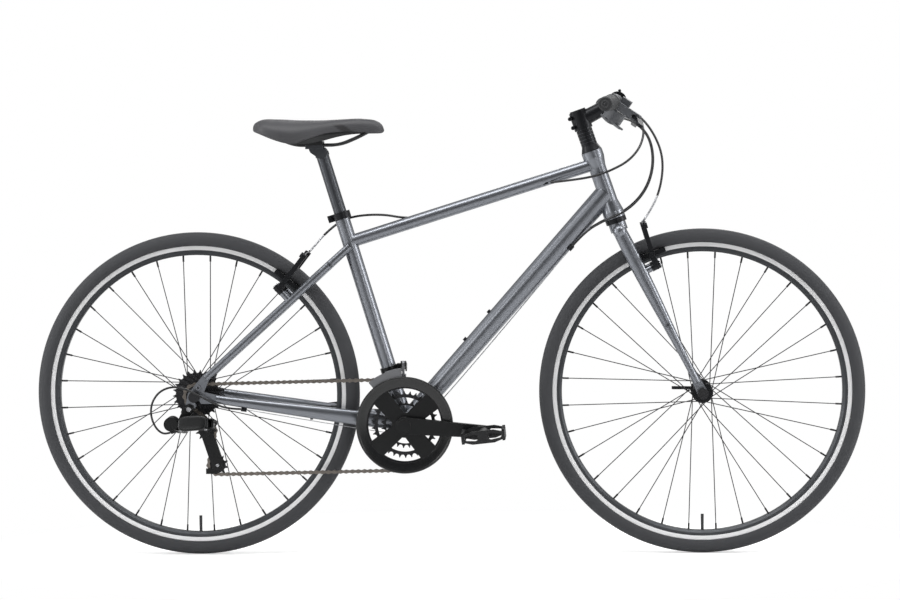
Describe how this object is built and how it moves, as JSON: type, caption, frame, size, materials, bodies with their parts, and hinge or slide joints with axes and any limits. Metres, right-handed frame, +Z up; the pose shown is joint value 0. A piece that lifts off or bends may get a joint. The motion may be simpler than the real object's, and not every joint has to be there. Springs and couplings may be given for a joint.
{
  "type": "hybrid bicycle",
  "caption": "Flat-bar hybrid bicycle with a diamond frame, rim brakes, derailleur gears, chain guard, padded saddle and spoked wheels that turn.",
  "frame": {"origin": "on the ground midway between the two axles, in the middle plane of the wheels", "axes": "+X forward towards the front wheel, +Y to the rider's left, +Z up"},
  "size_m": [1.7668, 0.6058, 0.9883],
  "materials": {
    "frame_paint": "satin metallic",
    "black_alloy": "satin black",
    "steel": "bright",
    "black_plastic": "matte",
    "grip_rubber": "matte",
    "tyre_rubber": "matte",
    "saddle_skin": "soft matte"
  },
  "bodies": {
    "frame": {"head_tube": "frame_paint", "top_tube": "frame_paint", "down_tube": "frame_paint", "seat_tube": "frame_paint", "chain_stays": "frame_paint", "seat_stays": "frame_paint", "frame_fittings": "steel", "steering_cables": "black_plastic", "rear_cables": "black_plastic", "front_mech_body": "black_alloy", "rear_axle": "steel", "chain": "steel"},
    "seat": {"seatpost": "black_alloy", "saddle_frame": "black_plastic", "saddle_cover": "saddle_skin"},
    "steering": {"fork": "frame_paint", "stem": "black_alloy", "handlebar": "black_alloy", "grips": "grip_rubber", "control_pods": "black_plastic", "front_brake_cable": "black_plastic", "front_axle": "steel"},
    "front_wheel": {"front_tyre": "tyre_rubber", "front_inner_tube": "grip_rubber", "front_rim": "black_alloy", "front_spokes": "steel", "front_hub": "black_alloy"},
    "rear_wheel": {"rear_tyre": "tyre_rubber", "rear_inner_tube": "grip_rubber", "rear_rim": "black_alloy", "rear_spokes": "steel", "rear_hub": "black_alloy"},
    "cassette": {"sprockets": "steel"},
    "crank": {"spindles": "steel", "crank_arms": "black_alloy", "chainrings": "steel", "chain_guard": "black_plastic"},
    "right_pedal": {"right_pedal": "black_plastic"},
    "left_pedal": {"left_pedal": "black_plastic"},
    "right_brake_lever": {"right_brake_lever": "black_alloy"},
    "left_brake_lever": {"left_brake_lever": "black_alloy"},
    "right_trigger": {"right_trigger": "black_plastic"},
    "left_trigger": {"left_trigger": "black_plastic"},
    "right_thumb_lever": {"right_thumb_lever": "black_plastic"},
    "left_thumb_lever": {"left_thumb_lever": "black_plastic"},
    "front_brake_right": {"front_brake_right": "black_alloy"},
    "front_brake_left": {"front_brake_left": "black_alloy"},
    "rear_brake_right": {"rear_brake_right": "black_alloy"},
    "rear_brake_left": {"rear_brake_left": "black_alloy"},
    "front_mech_link": {"front_mech_link": "black_alloy"},
    "front_mech_cage": {"front_mech_cage": "steel"},
    "rear_mech_knuckle": {"rear_mech_knuckle": "black_alloy"},
    "rear_mech_outer_link": {"rear_mech_outer_link": "black_alloy"},
    "rear_mech_inner_link": {"rear_mech_inner_link": "black_alloy"},
    "rear_mech_cage_knuckle": {"rear_mech_cage_knuckle": "black_alloy"},
    "rear_mech_cage": {"rear_mech_cage": "black_alloy"},
    "guide_pulley": {"guide_pulley": "black_plastic"},
    "tension_pulley": {"tension_pulley": "black_plastic"},
    "front_release_lever": {"front_release_lever": "black_alloy"},
    "rear_release_lever": {"rear_release_lever": "black_alloy"}
  },
  "joints": [
    {"name": "seatpost_slide", "type": "slide", "parent": "frame", "child": "seat", "axis": [-0.289, 0, 0.9573], "range_m": [-0.1, 0.08]},
    {"name": "steering_turn", "type": "hinge", "parent": "frame", "child": "steering", "pos_m": [0.35518, 0, 0.71579], "axis": [-0.3256, 0, 0.9455], "range_deg": [-70, 70], "deforming": ["steering_cables"]},
    {"name": "front_wheel_spin", "type": "hinge", "parent": "steering", "child": "front_wheel", "pos_m": [0.5375, 0, 0.346], "axis": [0, 1, 0], "continuous": true},
    {"name": "rear_wheel_spin", "type": "hinge", "parent": "frame", "child": "rear_wheel", "pos_m": [-0.5375, 0, 0.346], "axis": [0, 1, 0], "continuous": true},
    {"name": "crank_spin", "type": "hinge", "parent": "frame", "child": "crank", "pos_m": [-0.09309, 0, 0.282], "axis": [0, 1, 0], "continuous": true, "deforming": ["chain"]},
    {"name": "cassette_spin", "type": "hinge", "parent": "frame", "child": "cassette", "pos_m": [-0.5375, 0, 0.346], "axis": [0, 1, 0], "continuous": true},
    {"name": "right_pedal_spin", "type": "hinge", "parent": "crank", "child": "right_pedal", "pos_m": [0.07639, 0, 0.26866], "axis": [0, 1, 0], "continuous": true},
    {"name": "left_pedal_spin", "type": "hinge", "parent": "crank", "child": "left_pedal", "pos_m": [-0.26256, 0, 0.29534], "axis": [0, 1, 0], "continuous": true},
    {"name": "right_brake_lever_pull", "type": "hinge", "parent": "steering", "child": "right_brake_lever", "pos_m": [0.39674, -0.16624, 0.92802], "axis": [-0.5567, 0.0948, -0.8253], "range_deg": [0, 20], "stiffness_Nm_per_rad": 1.5, "springref_deg": -17.19, "deforming": ["front_brake_cable"]},
    {"name": "right_trigger_pull", "type": "hinge", "parent": "steering", "child": "right_trigger", "pos_m": [0.34683, -0.13486, 0.92349], "axis": [-0.5567, 0.0948, -0.8253], "range_deg": [0, 12], "stiffness_Nm_per_rad": 0.8, "springref_deg": -17.19},
    {"name": "right_thumb_push", "type": "hinge", "parent": "steering", "child": "right_thumb_lever", "pos_m": [0.34683, -0.13486, 0.92349], "axis": [-0.5567, 0.0948, -0.8253], "range_deg": [0, 25], "stiffness_Nm_per_rad": 0.8, "springref_deg": -17.19},
    {"name": "left_brake_lever_pull", "type": "hinge", "parent": "steering", "child": "left_brake_lever", "pos_m": [0.39674, 0.16624, 0.92802], "axis": [0.5567, 0.0948, 0.8253], "range_deg": [0, 20], "stiffness_Nm_per_rad": 1.5, "springref_deg": -17.19, "deforming": ["rear_cables"]},
    {"name": "left_trigger_pull", "type": "hinge", "parent": "steering", "child": "left_trigger", "pos_m": [0.34683, 0.13486, 0.92349], "axis": [0.5567, 0.0948, 0.8253], "range_deg": [0, 12], "stiffness_Nm_per_rad": 0.8, "springref_deg": -17.19},
    {"name": "left_thumb_push", "type": "hinge", "parent": "steering", "child": "left_thumb_lever", "pos_m": [0.34683, 0.13486, 0.92349], "axis": [0.5567, 0.0948, 0.8253], "range_deg": [0, 25], "stiffness_Nm_per_rad": 0.8, "springref_deg": -17.19},
    {"name": "front_brake_right_swing", "type": "hinge", "parent": "steering", "child": "front_brake_right", "pos_m": [0.4401, -0.04041, 0.61497], "axis": [-0.8926, 0, -0.4508], "range_deg": [0, 2.9]},
    {"name": "front_brake_left_swing", "type": "hinge", "parent": "steering", "child": "front_brake_left", "pos_m": [0.4401, 0.04041, 0.61497], "axis": [0.8926, 0, 0.4508], "range_deg": [0, 2.9]},
    {"name": "rear_brake_right_swing", "type": "hinge", "parent": "frame", "child": "rear_brake_right", "pos_m": [-0.35857, -0.04027, 0.57124], "axis": [-0.6692, 0, 0.7431], "range_deg": [0, 2.9]},
    {"name": "rear_brake_left_swing", "type": "hinge", "parent": "frame", "child": "rear_brake_left", "pos_m": [-0.35857, 0.04027, 0.57124], "axis": [0.6692, 0, -0.7431], "range_deg": [0, 2.9]},
    {"name": "front_mech_link_swing", "type": "hinge", "parent": "frame", "child": "front_mech_link", "pos_m": [-0.09619, -0.024, 0.40996], "axis": [1, 0, 0], "range_deg": [0, 33.2], "stiffness_Nm_per_rad": 0.6, "springref_deg": -22.92, "deforming": ["chain"]},
    {"name": "front_mech_cage_swing", "type": "hinge", "parent": "front_mech_link", "child": "front_mech_cage", "pos_m": [-0.09619, -0.032, 0.38313], "axis": [1, 0, 0], "range_deg": [-33.2, 0]},
    {"name": "rear_mech_knuckle_turn", "type": "hinge", "parent": "frame", "child": "rear_mech_knuckle", "pos_m": [-0.549, -0.078, 0.32], "axis": [0, 1, 0], "range_deg": [0, 15], "stiffness_Nm_per_rad": 2, "springref_deg": -17.19, "deforming": ["chain", "rear_cables"]},
    {"name": "rear_mech_link_swing", "type": "hinge", "parent": "rear_mech_knuckle", "child": "rear_mech_outer_link", "pos_m": [-0.563, -0.1, 0.288], "axis": [0, 0.4067, 0.9135], "range_deg": [0, 33], "stiffness_Nm_per_rad": 1, "springref_deg": -22.92, "deforming": ["chain", "rear_cables"]},
    {"name": "rear_mech_inner_link_swing", "type": "hinge", "parent": "rear_mech_knuckle", "child": "rear_mech_inner_link", "pos_m": [-0.558, -0.08812, 0.28271], "axis": [0, 0.4067, 0.9135], "range_deg": [0, 33]},
    {"name": "rear_mech_cage_knuckle_swing", "type": "hinge", "parent": "rear_mech_outer_link", "child": "rear_mech_cage_knuckle", "pos_m": [-0.50884, -0.10873, 0.29189], "axis": [0, 0.4067, 0.9135], "range_deg": [-33, 0]},
    {"name": "rear_mech_cage_turn", "type": "hinge", "parent": "rear_mech_cage_knuckle", "child": "rear_mech_cage", "pos_m": [-0.5165, -0.06, 0.272], "axis": [0, 1, 0], "range_deg": [-40, 20], "stiffness_Nm_per_rad": 0.4, "deforming": ["chain"]},
    {"name": "guide_pulley_spin", "type": "hinge", "parent": "rear_mech_cage", "child": "guide_pulley", "pos_m": [-0.5165, -0.05, 0.272], "axis": [0, 1, 0], "continuous": true},
    {"name": "tension_pulley_spin", "type": "hinge", "parent": "rear_mech_cage", "child": "tension_pulley", "pos_m": [-0.4925, -0.05, 0.1982], "axis": [0, 1, 0], "continuous": true},
    {"name": "front_release_swing", "type": "hinge", "parent": "steering", "child": "front_release_lever", "pos_m": [0.5375, 0.06875, 0.346], "axis": [0, 0, -1], "range_deg": [0, 170]},
    {"name": "rear_release_swing", "type": "hinge", "parent": "frame", "child": "rear_release_lever", "pos_m": [-0.5375, 0.08625, 0.346], "axis": [0, 0, -1], "range_deg": [0, 170]}
  ],
  "couplings": [
    {"joint": "cassette_spin", "follows": "crank_spin", "ratio": 4},
    {"joint": "guide_pulley_spin", "follows": "crank_spin", "ratio": -4.8},
    {"joint": "tension_pulley_spin", "follows": "crank_spin", "ratio": 4.8},
    {"joint": "front_brake_right_swing", "follows": "right_brake_lever_pull", "ratio": 0.145},
    {"joint": "front_brake_left_swing", "follows": "right_brake_lever_pull", "ratio": 0.145},
    {"joint": "rear_brake_right_swing", "follows": "left_brake_lever_pull", "ratio": 0.145},
    {"joint": "rear_brake_left_swing", "follows": "left_brake_lever_pull", "ratio": 0.145},
    {"joint": "front_mech_cage_swing", "follows": "front_mech_link_swing", "ratio": -1},
    {"joint": "rear_mech_inner_link_swing", "follows": "rear_mech_link_swing", "ratio": 1},
    {"joint": "rear_mech_cage_knuckle_swing", "follows": "rear_mech_link_swing", "ratio": -1}
  ]
}
